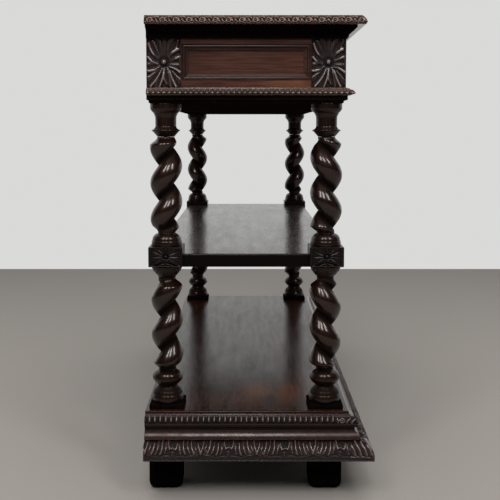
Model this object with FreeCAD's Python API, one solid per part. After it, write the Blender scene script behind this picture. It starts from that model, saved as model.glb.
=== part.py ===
import FreeCAD, Part

import math
import os

from FreeCAD import Vector

# An oak sideboard of three open tiers: a moulded base on block feet, barley-twist posts,
# a middle shelf, and a frieze with two drawers under the top.
# Millimetres, +Z up, front towards -Y, origin on the floor under the middle of the whole.

# Plan of the posts, which every tier follows
post_spacing_x = 1266.0
post_spacing_y = 368.0
post_width = 78.0

# Heights of the tiers, from the floor up
foot_height = 93.0
base_rail_height = 71.5
platform_thickness = 27.0
plinth_height = 10.0
lower_column_height = 321.5
middle_block_height = 45.5
upper_column_height = 326.5
soffit_thickness = 6.5
bottom_board_thickness = 10.0
bottom_rail_height = 33.0
drawer_opening_height = 82.0
top_rail_height = 38.0
top_board_thickness = 20.0

# How far each edge stands out from the posts' faces, at the front and the two ends
top_board_reach = 41.5
top_flat_reach = 12.0
cornice_reach = 22.0
bead_reach = 20.5
bottom_board_reach = 4.0
platform_reach = 13.0
tongue_reach = 34.0
ogee_reach = 38.0
leaf_reach = 65.5
base_back_reach = 9.0
soffit_inset = 4.0
shelf_inset = 7.0

# Heights of the mouldings
cornice_height = 27.0
bead_height = 17.0
tongue_height = 21.5
leaf_height = 39.5

# Frieze woodwork
frame_set_back = 2.0
rail_thickness = 22.0
tenon_length = 15.0
tenon_thickness = 8.0
tenon_shoulder = 5.0
panel_thickness = 10.0
panel_set_back = 8.0
panel_tongue = 6.0
panel_moulding_width = 15.0
back_board_thickness = 12.0
divider_width = 78.0
divider_thickness = 24.0

# Drawers and what they run on
drawer_gap = 1.5
drawer_front_thickness = 20.0
drawer_side_thickness = 10.0
drawer_side_drop = 6.0
drawer_bottom_thickness = 6.0
drawer_bottom_lift = 8.0
drawer_groove_depth = 5.0
drawer_back_gap = 10.0
drawer_run_gap = 0.3
runner_width = 30.0
guide_width = 18.0
kicker_height = 20.0
rosette_radius = 23.0
rosette_thickness = 9.0
rosette_stem_radius = 6.0

# Platform, shelf, frame and feet
edge_round = 3.0
base_rail_thickness = 24.0
foot_post_width = 60.0
foot_corner_round = 18.0
foot_bottom_round = 15.0
foot_back_reach = 4.0
shelf_thickness = 30.0
shelf_edge_round = 4.0
plinth_width = 80.0

# Turned columns: radii and the heights of their turned ends
dowel_radius = 11.0
dowel_length = 26.0
column_neck_radius = 19.8
cup_radius = 36.0
cup_height = 26.5
cup_neck_height = 8.5
capital_radius = 35.5
capital_height = 33.5
drum_radius = 24.0
drum_height = 20.0
ring_radius = 32.4
ring_height = 21.0
ring_neck_height = 6.5
upper_base_radius = 34.0
upper_base_height = 33.0
foot_torus_radius = 36.8
foot_torus_height = 39.0
foot_ring_radius = 35.4
foot_ring_height = 36.0
foot_neck_height = 6.0

# The twist: one strand with a round back and a tight groove
upper_twist_turns = 2.593
lower_twist_turns = 2.5
twist_radius = 37.2
twist_groove_radius = 12.3
twist_end_radius = 18.0
twist_end_length = 13.0
twist_rows_per_turn = 12
twist_points_round = 16

# Shelf dowels
shelf_dowel_radius = 5.0
shelf_dowel_length = 44.0
shelf_dowel_setting = 20.0

# Clearance of a tenon, tongue or dowel in its hole, and the overrun of a cut
fit = 0.15
overrun = 5.0
same_point = 0.001
full_turn = 360.0

# Everything below is worked out from the sizes above
half_length = (post_spacing_x + post_width) / 2
frame_depth = post_spacing_y + post_width
total_depth = leaf_reach + frame_depth + base_back_reach
front_y = leaf_reach - total_depth / 2
back_y = front_y + frame_depth
post_front_y = front_y + post_width / 2
post_back_y = back_y - post_width / 2
post_x = post_spacing_x / 2
half_post = post_width / 2

rail_z = foot_height
platform_z = rail_z + base_rail_height
plinth_z = platform_z + platform_thickness
lower_column_z = plinth_z + plinth_height
middle_block_z = lower_column_z + lower_column_height
upper_column_z = middle_block_z + middle_block_height
soffit_z = upper_column_z + upper_column_height
bottom_board_z = soffit_z + soffit_thickness
bottom_rail_z = bottom_board_z + bottom_board_thickness
opening_z = bottom_rail_z + bottom_rail_height
top_rail_z = opening_z + drawer_opening_height
top_board_z = top_rail_z + top_rail_height
total_height = top_board_z + top_board_thickness

rail_front_y = front_y + frame_set_back
rail_end_x = half_length - frame_set_back
inner_end_x = half_length - post_width
ogee_height = base_rail_height - leaf_height

# Outlines as shares of a piece's own reach or radius and its height. A step of two
# numbers is a straight line to that point, and one of four is an arc through the first.
top_edge_shares = [(0, 0), (0.88, 0), (0.97, 0.10, 1, 0.27), (0.80, 0.82, 0, 1)]
cornice_shares = [
    (0, 0), (0.14, 0), (0.14, 0.12), (0.24, 0.12), (0.24, 0.22), (0.20, 0.22), (0.20, 0.48),
    (0.42, 0.70, 0.80, 0.83), (1, 0.83), (1, 1), (0, 1),
]
bead_shares = [
    (0, 0), (0.66, 0), (0.66, 0.06), (0.94, 0.10, 1, 0.25), (0.66, 0.80, 0.16, 0.90), (0.16, 1), (0, 1),
]
tongue_shares = [
    (0, 0), (0.80, 0), (0.97, 0.22, 1, 0.48), (0.72, 0.84, 0.18, 0.90), (0.18, 1), (0, 1),
]
ogee_shares = [
    (0, 0), (1, 0), (1, 0.06), (0.98, 0.06), (0.86, 0.31, 0.58, 0.515),
    (0.50, 0.515), (0.46, 0.70, 0.62, 0.88), (0.74, 0.88), (0.74, 1), (0, 1),
]
leaf_shares = [(0, 0), (1, 0), (1, 0.36), (0.88, 0.76, 0.66, 1), (0, 1)]
panel_moulding_shares = [
    (0, 0), (1, 0), (1, 0.12), (0.80, 0.20), (0.70, 0.55, 0.42, 0.62), (0.36, 0.80), (0.30, 1), (0, 1),
]
cup_shares = [(0.56, 0), (0.74, 0.25, 0.91, 0.52), (0.98, 0.78), (1, 0.90, 0.97, 1)]
capital_shares = [
    (0.68, 0), (0.70, 0.14, 0.775, 0.29), (0.775, 0.34), (0.82, 0.38, 0.96, 0.56), (1, 0.62), (1, 1),
]
ring_shares = [(0.63, 0), (0.70, 0.13), (0.94, 0.54), (1, 0.63, 0.95, 0.70), (0.83, 0.80, 0.745, 1)]
upper_base_shares = [
    (0.97, 0), (1, 0.15, 0.97, 0.30), (0.90, 0.33), (0.80, 0.58, 0.62, 0.80), (0.60, 0.84), (0.60, 1),
]
foot_torus_shares = [
    (0.94, 0), (1, 0.20, 0.935, 0.48), (0.90, 0.50), (0.865, 0.64, 0.78, 0.74), (0.66, 0.84), (0.58, 1),
]
foot_ring_shares = [
    (0.60, 0), (0.84, 0.19, 0.98, 0.40), (1, 0.49, 0.98, 0.61), (0.90, 0.79, 0.80, 0.88),
    (0.72, 0.93, 0.58, 1),
]

rosette_button_share = 0.24
rosette_foot_share = 0.80
rosette_rim_share = 0.45
rosette_body_share = 0.66
rosette_dome_share = 0.84

# Which way each post's twist turns, and the turn at which its strand starts, as shares of one
turned_posts = {
    "back_left": dict(side_x=-1, side_y=1, hand=1, upper_start_share=-0.09, lower_start_share=0.339),
    "front_left": dict(side_x=-1, side_y=-1, hand=-1, upper_start_share=0.325, lower_start_share=0.437),
    "back_right": dict(side_x=1, side_y=1, hand=-1, upper_start_share=0.318, lower_start_share=0.161),
    "front_right": dict(side_x=1, side_y=-1, hand=1, upper_start_share=-0.055, lower_start_share=0.063),
}

parts = {}


def box(x0, x1, y0, y1, z0, z1):
    """A block between two corners, given in any order."""
    low = Vector(min(x0, x1), min(y0, y1), min(z0, z1))
    return Part.makeBox(abs(x1 - x0), abs(y1 - y0), abs(z1 - z0), low)


def post_block(x, y, half_width, z0, z1):
    """A square block centred on a post."""
    return box(x - half_width, x + half_width, y - half_width, y + half_width, z0, z1)


def edges_along(points, place):
    """The edges of an outline's steps, each placed in space by place(across, up)."""
    edges = []
    here = place(*points[0])
    for step in points[1:]:
        there = place(*step[-2:])
        if here.distanceToPoint(there) < same_point:
            continue
        if len(step) == 4:
            edges.append(Part.Arc(here, place(*step[:2]), there).toShape())
        else:
            edges.append(Part.makeLine(here, there))
        here = there
    return edges


def scaled(shares, width, height):
    """An outline in real sizes from its shares of a width and a height."""
    return [tuple(value * (height if i % 2 else width) for i, value in enumerate(step)) for step in shares]


def moulding(shares, reach, height, z, side, offset=0.0, back=None):
    """One mitred run of moulding along the front, left or right, standing out from the posts'
    faces plus an offset. Its end is square at the back."""
    back = back_y if back is None else back
    face_x = half_length + offset
    face_y = front_y - offset
    outline = scaled(shares, reach, height)
    if side == "front":
        corners = [(-face_x, face_y), (face_x, face_y)]
        corners += [(face_x + reach, face_y - reach), (-face_x - reach, face_y - reach)]
        place = lambda across, up: Vector(-face_x - reach, face_y - across, z + up)
        run = Vector(2 * (face_x + reach), 0, 0)
    else:
        hand = -1 if side == "left" else 1
        corners = [(hand * face_x, face_y), (hand * (face_x + reach), face_y - reach)]
        corners += [(hand * (face_x + reach), back), (hand * face_x, back)]
        place = lambda across, up: Vector(hand * (face_x + across), face_y - reach, z + up)
        run = Vector(0, back - face_y + reach, 0)
    edges = edges_along(outline, place)
    edges.append(Part.makeLine(edges[-1].Vertexes[-1].Point, place(*outline[0])))
    stick = Part.Face(Part.Wire(Part.__sortEdges__(edges))).extrude(run)
    plan = Part.makePolygon([Vector(x, y, z) for x, y in corners + corners[:1]])
    return stick.common(Part.Face(plan).extrude(Vector(0, 0, height)))


def moulding_set(shares, reach, height, z, offset=0.0, back=None):
    """The front, left and right runs of one moulding, mitred at the front corners."""
    runs = [moulding(shares, reach, height, z, side, offset, back) for side in ("front", "left", "right")]
    return Part.makeCompound(runs)


def round_edges(shape, radius, wanted):
    """Rounds the edges whose middle point passes the test."""
    edges = [e for e in shape.Edges if wanted(e.valueAt((e.FirstParameter + e.LastParameter) / 2))]
    return shape.makeFillet(radius, edges)


def is_near(a, b):
    return abs(a - b) < fit


def turned(outline):
    """A solid of revolution about Z from the outside line of its half section."""
    place = lambda radius, height: Vector(radius, 0, height)
    edges = edges_along(outline, place)
    bottom = Vector(0, 0, outline[0][-1])
    top = Vector(0, 0, outline[-1][-1])
    edges.insert(0, Part.makeLine(bottom, place(*outline[0])))
    edges.append(Part.makeLine(place(*outline[-1][-2:]), top))
    edges.append(Part.makeLine(top, bottom))
    return Part.Face(Part.Wire(edges)).revolve(Vector(0, 0, 0), Vector(0, 0, 1), full_turn)


def stacked(members, z):
    """One outside line through turned members, each of shares, radius and height, from z up."""
    line = []
    for shares, radius, height in members:
        for step in scaled(shares, radius, height):
            line.append(tuple(value + (z if i % 2 else 0) for i, value in enumerate(step)))
        z += height
    return line


def plain(radius, height):
    """A plain cylinder as a turned member."""
    return ([(1, 0), (1, 1)], radius, height)


def twist(z, length, turns, hand, start_share):
    """The side of a column's twisted stretch, in two halves. Its section is a rounded strand
    beside a tight groove, and it draws in to the neck at both ends."""
    rows = round(twist_rows_per_turn * turns)
    grid = []
    for row in range(rows + 1):
        height = length * row / rows
        end = min(height, length - height, twist_end_length) / twist_end_length
        fullness = math.sin(end * math.pi / 2)
        lean = 2 * math.pi * (start_share + hand * turns * row / rows)
        line = []
        for point in range(twist_points_round + 1):
            angle = math.pi * (2 * point / twist_points_round - 1)
            strand = twist_radius - twist_groove_radius
            radius = twist_groove_radius + strand * math.cos(angle / 2)
            radius = twist_end_radius + fullness * (radius - twist_end_radius)
            line.append(Vector(radius * math.cos(angle + lean), radius * math.sin(angle + lean), z + height))
        grid.append(line)
    surface = Part.BSplineSurface()
    surface.interpolate(grid)
    bottom, top, first, last = surface.bounds()
    halves = []
    for low, high in ((first, (first + last) / 2), ((first + last) / 2, last)):
        half = surface.copy()
        half.segment(bottom, top, low, high)
        halves.append(half.toShape())
    return halves


def shoulder(disc, hole_edges):
    """The flat shoulder between a turned end's rim and the twist that starts inside it."""
    face = Part.Face([disc.OuterWire, Part.Wire(hole_edges)])
    face.validate()
    return face


def column(z, height, bottom_members, top_members, turns, hand, start_share, bottom_dowel, top_dowel):
    """A whole column: turned bottom, twist and turned top, with a dowel at each end."""
    bottom_height = sum(member[2] for member in bottom_members)
    top_height = sum(member[2] for member in top_members)
    twist_length = height - bottom_height - top_height
    bottom = turned(stacked([plain(dowel_radius, bottom_dowel)] + bottom_members, z - bottom_dowel))
    top = turned(stacked(top_members + [plain(dowel_radius, top_dowel)], z + height - top_height))
    faces = twist(z + bottom_height, twist_length, turns, hand, start_share)
    ends = [e for face in faces for e in face.Edges if is_near(e.BoundBox.ZLength, 0)]
    for end, joint_z in ((bottom, z + bottom_height), (top, z + height - top_height)):
        level = [f for f in end.Faces if is_near(f.BoundBox.ZLength, 0)]
        flat = [f for f in level if is_near(f.CenterOfMass.z, joint_z)]
        faces.extend(f for f in end.Faces if not f.isSame(flat[0]))
        faces.append(shoulder(flat[0], [e for e in ends if is_near(e.BoundBox.ZMax, joint_z)]))
    shell = Part.Shell(faces)
    shell.sewShape()
    return Part.Solid(shell.Shells[0])


def upper_column(post):
    bottom = [(upper_base_shares, upper_base_radius, upper_base_height)]
    top = [
        plain(column_neck_radius, ring_neck_height),
        (ring_shares, ring_radius, ring_height),
        plain(drum_radius, drum_height),
        (capital_shares, capital_radius, capital_height),
    ]
    return column(
        upper_column_z, upper_column_height, bottom, top, upper_twist_turns,
        post["hand"], post["upper_start_share"], dowel_length / 2, soffit_thickness + dowel_length,
    )


def lower_column(post):
    bottom = [
        (foot_torus_shares, foot_torus_radius, foot_torus_height),
        (foot_ring_shares, foot_ring_radius, foot_ring_height),
        plain(column_neck_radius, foot_neck_height),
    ]
    top = [plain(column_neck_radius, cup_neck_height), (cup_shares, cup_radius, cup_height)]
    return column(
        lower_column_z, lower_column_height, bottom, top, lower_twist_turns,
        post["hand"], post["lower_start_share"], plinth_height + dowel_length / 2, dowel_length / 2,
    )


def bore(x, y, z0, z1, radius=None):
    """An upright hole for a dowel."""
    radius = dowel_radius if radius is None else radius
    return Part.makeCylinder(radius + fit, z1 - z0, Vector(x, y, z0))


def end_rail_tenons(side_x, clearance=0.0):
    """The tenons of one end's two rails, into the front and back corner blocks."""
    outer = side_x * (rail_end_x - (rail_thickness - tenon_thickness) / 2 + clearance)
    inner = side_x * (rail_end_x - (rail_thickness + tenon_thickness) / 2 - clearance)
    tenons = []
    for low, high in ((bottom_rail_z, opening_z), (top_rail_z, top_board_z)):
        for joint_y, inward in ((front_y + post_width, -1), (back_y - post_width, 1)):
            reach = inward * (tenon_length + clearance)
            tenons.append(
                box(outer, inner, joint_y, joint_y + reach,
                    low + tenon_shoulder - clearance, high - tenon_shoulder + clearance)
            )
    return tenons


def front_rail_tenons(low, high, clearance=0.0):
    """The two end tenons of a rail across the front."""
    near = rail_front_y + (rail_thickness - tenon_thickness) / 2 - clearance
    far = rail_front_y + (rail_thickness + tenon_thickness) / 2 + clearance
    reach = tenon_length + clearance
    return [
        box(hand * inner_end_x, hand * (inner_end_x + reach), near, far,
            low + tenon_shoulder - clearance, high - tenon_shoulder + clearance)
        for hand in (-1, 1)
    ]


def end_panel_solid(side_x, clearance=0.0):
    """One end's sunk panel with its tongues in the frame's grooves."""
    outer = side_x * (rail_end_x - panel_set_back + clearance)
    inner = side_x * (rail_end_x - panel_set_back - panel_thickness - clearance)
    edge = panel_tongue + clearance
    return box(outer, inner, front_y + post_width - edge, back_y - post_width + edge,
               opening_z - edge, top_rail_z + edge)


def make_top():
    slab_x = half_length + top_flat_reach
    slab = box(-slab_x, slab_x, front_y - top_flat_reach, back_y, top_board_z, total_height)
    edge = moulding_set(
        top_edge_shares, top_board_reach - top_flat_reach, top_board_thickness, top_board_z, top_flat_reach
    )
    parts["top_board"] = slab.fuse(edge.Solids).removeSplitter()
    parts["cornice"] = moulding_set(
        cornice_shares, cornice_reach, cornice_height, top_board_z - cornice_height
    )


def make_corner_blocks():
    for name, post in turned_posts.items():
        x = post["side_x"] * post_x
        y = post_front_y if post["side_y"] < 0 else post_back_y
        block = post_block(x, y, half_post, bottom_rail_z, top_board_z)
        block = block.cut(end_panel_solid(post["side_x"], fit))
        block = block.cut(end_rail_tenons(post["side_x"], fit))
        if post["side_y"] < 0:
            block = block.cut(front_rail_tenons(bottom_rail_z, opening_z, fit))
            block = block.cut(front_rail_tenons(top_rail_z, top_board_z, fit))
        hole_top = soffit_z + soffit_thickness + dowel_length + fit
        block = block.cut(bore(x, y, bottom_rail_z - overrun, hole_top))
        parts["corner_block_" + name] = block


def make_frieze_ends():
    for name, side_x in (("left", -1), ("right", 1)):
        outer = side_x * rail_end_x
        inner = side_x * (rail_end_x - rail_thickness)
        near, far = front_y + post_width, back_y - post_width
        rails = [box(outer, inner, near, far, low, high)
                 for low, high in ((bottom_rail_z, opening_z), (top_rail_z, top_board_z))]
        groove = end_panel_solid(side_x, fit)
        tenons = end_rail_tenons(side_x)
        rails = [rail.fuse([t for t in tenons if t.distToShape(rail)[0] < fit]).removeSplitter().cut(groove)
                 for rail in rails]
        parts["end_rails_" + name] = Part.makeCompound(rails)
        parts["end_panel_" + name] = end_panel_solid(side_x)
        face = lambda y, z, out, s=side_x: Vector(s * (rail_end_x - panel_set_back + out), y, z)
        parts["end_panel_moulding_" + name] = framed_moulding(near, far, opening_z, top_rail_z, face)


def framed_moulding(low_y, high_y, low_z, high_z, face):
    """Four mitred sticks round the inside of a frame. face(y, z, out) places a point that is
    out from the panel's surface."""
    sticks = []
    corners = [(low_y, low_z), (high_y, low_z), (high_y, high_z), (low_y, high_z)]
    middle = ((low_y + high_y) / 2, (low_z + high_z) / 2)
    outline = scaled(panel_moulding_shares, panel_set_back, panel_moulding_width)
    for i, (y0, z0) in enumerate(corners):
        y1, z1 = corners[(i + 1) % 4]
        loops = []
        for y, z in ((y0, z0), (y1, z1)):
            inward_y = 1 if y < middle[0] else -1
            inward_z = 1 if z < middle[1] else -1
            turns = (y, z, inward_y, inward_z)
            place = lambda out, along, t=turns: face(t[0] + t[2] * along, t[1] + t[3] * along, out)
            edges = edges_along(outline, place)
            edges.append(Part.makeLine(edges[-1].Vertexes[-1].Point, place(*outline[0])))
            loops.append(Part.Wire(edges))
        sticks.append(Part.makeLoft(loops, True, True))
    return Part.makeCompound(sticks)


def make_frieze_front_and_back():
    for name, low, high in (("drawer_rail_bottom", bottom_rail_z, opening_z),
                            ("drawer_rail_top", top_rail_z, top_board_z)):
        rail = box(-inner_end_x, inner_end_x, rail_front_y, rail_front_y + rail_thickness, low, high)
        parts[name] = rail.fuse(front_rail_tenons(low, high)).removeSplitter()
    half = divider_width / 2
    parts["drawer_divider"] = box(-half, half, front_y, front_y + divider_thickness, opening_z, top_rail_z)
    back_face = back_y - frame_set_back
    parts["back_board"] = box(
        -inner_end_x, inner_end_x, back_face - back_board_thickness, back_face, bottom_rail_z, top_board_z
    )


def make_carcass_bottom():
    inset_x = half_length - soffit_inset
    reach_x = half_length + bottom_board_reach
    step = box(-inset_x, inset_x, front_y + soffit_inset, back_y - soffit_inset, soffit_z, bottom_board_z)
    board = box(-reach_x, reach_x, front_y - bottom_board_reach, back_y, bottom_board_z, bottom_rail_z)
    board = board.fuse(step).removeSplitter()
    for post in turned_posts.values():
        y = post_front_y if post["side_y"] < 0 else post_back_y
        board = board.cut(bore(post["side_x"] * post_x, y, soffit_z - overrun, bottom_rail_z + overrun))
    parts["carcass_bottom"] = board
    parts["bead_moulding"] = moulding_set(bead_shares, bead_reach, bead_height, bottom_rail_z)


def make_runners():
    near = rail_front_y + rail_thickness
    far = back_y - frame_set_back - back_board_thickness
    guide_top = top_rail_z - drawer_side_drop
    half = divider_width / 2
    centre_near = max(near, front_y + divider_thickness)
    centre = box(-half - runner_width, half + runner_width, near, far, bottom_rail_z, opening_z)
    centre = centre.fuse(box(-half, half, centre_near, far, bottom_rail_z, guide_top)).removeSplitter()
    pieces = [centre]
    for hand in (-1, 1):
        lying = box(hand * (inner_end_x - runner_width), hand * (inner_end_x + guide_width),
                    front_y + post_width, back_y - post_width, bottom_rail_z, opening_z)
        front_end = box(hand * (inner_end_x - runner_width), hand * inner_end_x,
                        near, front_y + post_width, bottom_rail_z, opening_z)
        back_end = box(hand * (inner_end_x - runner_width), hand * inner_end_x,
                       back_y - post_width, far, bottom_rail_z, opening_z)
        upright = box(hand * inner_end_x, hand * (inner_end_x + guide_width),
                      front_y + post_width, back_y - post_width, bottom_rail_z, guide_top)
        pieces.append(lying.fuse([front_end, back_end, upright]).removeSplitter())
        pieces.append(box(hand * (inner_end_x - runner_width), hand * inner_end_x,
                          near, far, top_rail_z, top_rail_z + kicker_height))
    reach = half + runner_width
    pieces.append(box(-reach, reach, near, far, top_rail_z, top_rail_z + kicker_height))
    parts["drawer_runners"] = Part.makeCompound(pieces)


def make_drawer(name, hand):
    """One drawer, to the right of the middle when hand is 1. It slides out towards the front."""
    left, right = sorted((hand * (divider_width / 2 + drawer_gap), hand * (inner_end_x - drawer_gap)))
    low, high = opening_z + drawer_gap, top_rail_z - drawer_gap
    face_y = rail_front_y + panel_set_back
    front_back_y = face_y + drawer_front_thickness
    box_end_y = back_y - frame_set_back - back_board_thickness - drawer_back_gap
    side_low, side_high = opening_z + drawer_run_gap, top_rail_z - drawer_side_drop
    floor_z = side_low + drawer_bottom_lift
    rebate = drawer_side_thickness
    inner_left, inner_right = left + drawer_side_thickness, right - drawer_side_thickness
    groove = box(inner_left - drawer_groove_depth, inner_right + drawer_groove_depth,
                 front_back_y - drawer_groove_depth, box_end_y + overrun,
                 floor_z, floor_z + drawer_bottom_thickness)
    front = box(left, right, face_y, front_back_y, low, high)
    sides = []
    for outer, inner in ((left, inner_left), (right, inner_right)):
        side = box(outer, inner, front_back_y - rebate, box_end_y, side_low, side_high)
        front = front.cut(box(outer, inner, front_back_y - rebate, front_back_y + overrun,
                              side_low - overrun, side_high))
        sides.append(side.cut(groove))
    middle_x = (left + right) / 2
    middle_z = (low + high) / 2
    stem = Part.makeCylinder(rosette_stem_radius + fit, drawer_front_thickness + 2 * overrun,
                             Vector(middle_x, face_y - overrun, middle_z), Vector(0, 1, 0))
    parts["drawer_front_" + name] = front.cut([groove, stem])
    parts["drawer_sides_" + name] = Part.makeCompound(sides)
    parts["drawer_back_" + name] = box(inner_left, inner_right, box_end_y - drawer_side_thickness, box_end_y,
                                       floor_z + drawer_bottom_thickness, side_high)
    parts["drawer_bottom_" + name] = box(
        inner_left - drawer_groove_depth, inner_right + drawer_groove_depth,
        front_back_y - drawer_groove_depth, box_end_y, floor_z, floor_z + drawer_bottom_thickness
    )
    face = lambda x, z, out: Vector(x, face_y - out, z)
    parts["drawer_moulding_" + name] = framed_moulding(left, right, low, high, face)
    parts["drawer_rosette_" + name] = rosette(middle_x, face_y, middle_z)


def rosette(x, face_y, z):
    """A carved boss with an undercut rim, pinned through the drawer front by its own stem."""
    button = rosette_radius * rosette_button_share
    line = [
        (rosette_stem_radius, -drawer_front_thickness),
        (rosette_stem_radius, 0),
        (rosette_radius * rosette_foot_share, 0),
        (rosette_radius, rosette_thickness * rosette_rim_share),
        (rosette_radius * rosette_body_share, rosette_thickness * rosette_dome_share,
         button, rosette_thickness * rosette_dome_share),
        (button, rosette_thickness),
    ]
    boss = turned(line)
    boss.rotate(Vector(0, 0, 0), Vector(1, 0, 0), full_turn / 4)
    boss.translate(Vector(x, face_y, z))
    return boss


def make_columns():
    for name, post in turned_posts.items():
        place = Vector(post["side_x"] * post_x, post_front_y if post["side_y"] < 0 else post_back_y, 0)
        for kind, shape in (("upper_column_", upper_column(post)), ("lower_column_", lower_column(post))):
            shape.translate(place)
            parts[kind + name] = shape


def shelf_dowel(x, y, side_x, clearance=0.0):
    """A dowel through the joint between a middle block's inner face and the shelf's notch."""
    length = shelf_dowel_length + 2 * clearance
    start_x = x - side_x * (half_post - shelf_dowel_setting - clearance)
    start = Vector(start_x, y, middle_block_z + shelf_thickness / 2)
    return Part.makeCylinder(shelf_dowel_radius + clearance, length, start, Vector(-side_x, 0, 0))


def make_middle_tier():
    side_x = half_length - shelf_inset
    top_z = middle_block_z + shelf_thickness
    shelf = box(-side_x, side_x, front_y + shelf_inset, back_y - shelf_inset, middle_block_z, top_z)
    edge_x, edge_y = side_x, front_y + shelf_inset
    shelf = round_edges(
        shelf, shelf_edge_round,
        lambda p: is_near(p.z, top_z) and (is_near(abs(p.x), edge_x) or is_near(p.y, edge_y)),
    )
    dowels = []
    for name, post in turned_posts.items():
        hand = post["side_x"]
        x = hand * post_x
        y = post_front_y if post["side_y"] < 0 else post_back_y
        top = middle_block_z + middle_block_height
        block = post_block(x, y, half_post, middle_block_z, top)
        shelf = shelf.cut(block)
        shelf = shelf.cut(shelf_dowel(x, y, hand, fit))
        dowels.append(shelf_dowel(x, y, hand))
        block = block.cut(shelf_dowel(x, y, hand, fit))
        block = block.cut(bore(x, y, middle_block_z - overrun, middle_block_z + dowel_length / 2 + fit))
        block = block.cut(bore(x, y, top - dowel_length / 2 - fit, top + overrun))
        parts["middle_block_" + name] = block
    parts["middle_shelf"] = shelf
    parts["shelf_dowels"] = Part.makeCompound(dowels)


def make_base():
    side_x = half_length + platform_reach
    near, far = front_y - platform_reach, back_y + base_back_reach
    platform = box(-side_x, side_x, near, far, platform_z, plinth_z)
    platform = round_edges(
        platform, edge_round,
        lambda p: is_near(p.z, plinth_z) and (is_near(abs(p.x), side_x) or is_near(p.y, near)),
    )
    half_plinth = plinth_width / 2
    for name, post in turned_posts.items():
        x = post["side_x"] * post_x
        y = post_front_y if post["side_y"] < 0 else post_back_y
        hole = bore(x, y, plinth_z - dowel_length / 2 - fit, lower_column_z + overrun)
        platform = platform.cut(hole)
        plinth = post_block(x, y, half_plinth, plinth_z, lower_column_z)
        parts["plinth_block_" + name] = plinth.cut(hole)
        foot_y = y if post["side_y"] < 0 else y + foot_back_reach
        parts["foot_" + name] = foot(x, foot_y, post["side_x"], post["side_y"])
    parts["base_platform"] = platform
    inner_x = side_x - base_rail_thickness
    inner_near, inner_far = near + base_rail_thickness, far - base_rail_thickness
    rails = [
        box(-side_x, side_x, near, inner_near, rail_z, platform_z),
        box(-side_x, side_x, inner_far, far, rail_z, platform_z),
        box(-side_x, -inner_x, inner_near, inner_far, rail_z, platform_z),
        box(inner_x, side_x, inner_near, inner_far, rail_z, platform_z),
    ]
    parts["base_rails"] = Part.makeCompound(rails)
    parts["tongue_moulding"] = moulding_set(
        tongue_shares, tongue_reach - platform_reach, tongue_height, platform_z, platform_reach, far
    )
    parts["ogee_moulding"] = moulding_set(
        ogee_shares, ogee_reach - platform_reach, ogee_height, platform_z - ogee_height, platform_reach, far
    )
    for side in ("front", "left", "right"):
        parts["leaf_moulding_" + side] = moulding(
            leaf_shares, leaf_reach - platform_reach, leaf_height, rail_z, side, platform_reach, far
        )


def foot(x, y, side_x, side_y):
    """A block foot with rounded corners, whose upper part is a corner post inside the base rails."""
    block = post_block(x, y, half_post, 0, foot_height)
    upright = [e for e in block.Edges if is_near(e.BoundBox.ZLength, foot_height)]
    block = block.makeFillet(foot_corner_round, upright)
    lower = [e for e in block.Edges if is_near(e.BoundBox.ZMax, 0)]
    block = block.makeFillet(foot_bottom_round, lower)
    corner_x = side_x * (half_length + platform_reach - base_rail_thickness)
    if side_y < 0:
        corner_y = front_y - platform_reach + base_rail_thickness
    else:
        corner_y = back_y + base_back_reach - base_rail_thickness
    post = box(corner_x, corner_x - side_x * foot_post_width, corner_y, corner_y - side_y * foot_post_width,
               rail_z, platform_z)
    return block.fuse(post).removeSplitter()


make_top()
make_corner_blocks()
make_frieze_ends()
make_frieze_front_and_back()
make_carcass_bottom()
make_runners()
make_drawer("left", -1)
make_drawer("right", 1)
make_columns()
make_middle_tier()
make_base()

os.makedirs("parts", exist_ok=True)
for name, shape in parts.items():
    shape.exportStep("parts/" + name + ".step")
    solids = shape.Solids
    valid = all(solid.isValid() for solid in solids)
    state = "valid" if valid else "NOT VALID"
    print(name, len(solids), "solids", round(sum(s.Volume for s in solids)), "mm3", state)
print(len(parts), "nodes")
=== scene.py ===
import math

import bpy
import numpy as np
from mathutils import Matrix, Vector


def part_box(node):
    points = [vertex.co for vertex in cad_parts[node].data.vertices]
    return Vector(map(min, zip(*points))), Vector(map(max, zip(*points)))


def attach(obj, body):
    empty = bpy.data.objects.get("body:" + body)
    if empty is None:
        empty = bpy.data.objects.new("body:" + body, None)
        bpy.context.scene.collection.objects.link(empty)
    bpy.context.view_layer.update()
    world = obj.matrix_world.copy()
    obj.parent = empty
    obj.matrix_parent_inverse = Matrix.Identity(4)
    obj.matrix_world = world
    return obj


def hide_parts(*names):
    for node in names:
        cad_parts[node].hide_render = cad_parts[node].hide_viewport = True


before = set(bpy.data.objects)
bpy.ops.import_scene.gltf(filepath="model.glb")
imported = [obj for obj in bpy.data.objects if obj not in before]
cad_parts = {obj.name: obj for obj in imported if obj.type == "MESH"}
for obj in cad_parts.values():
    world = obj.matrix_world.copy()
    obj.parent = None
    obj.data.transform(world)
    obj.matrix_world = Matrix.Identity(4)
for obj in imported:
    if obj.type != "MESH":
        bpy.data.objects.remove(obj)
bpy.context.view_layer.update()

# A dark oak sideboard of three open tiers, with barley-twist posts and carved mouldings.
# Metres, +Z up, front towards -Y. Shapes are worked out in millimetres, and MM turns them into metres.
MM = 0.001
TAU = 2 * math.pi


def corners(node):
    """The lowest and the highest corner of a node at rest, in millimetres."""
    return [[value / MM for value in corner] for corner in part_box(node)]


def heights(node):
    """The lowest and the highest height of a node at rest, in millimetres."""
    low, high = corners(node)
    return low[2], high[2]


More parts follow.
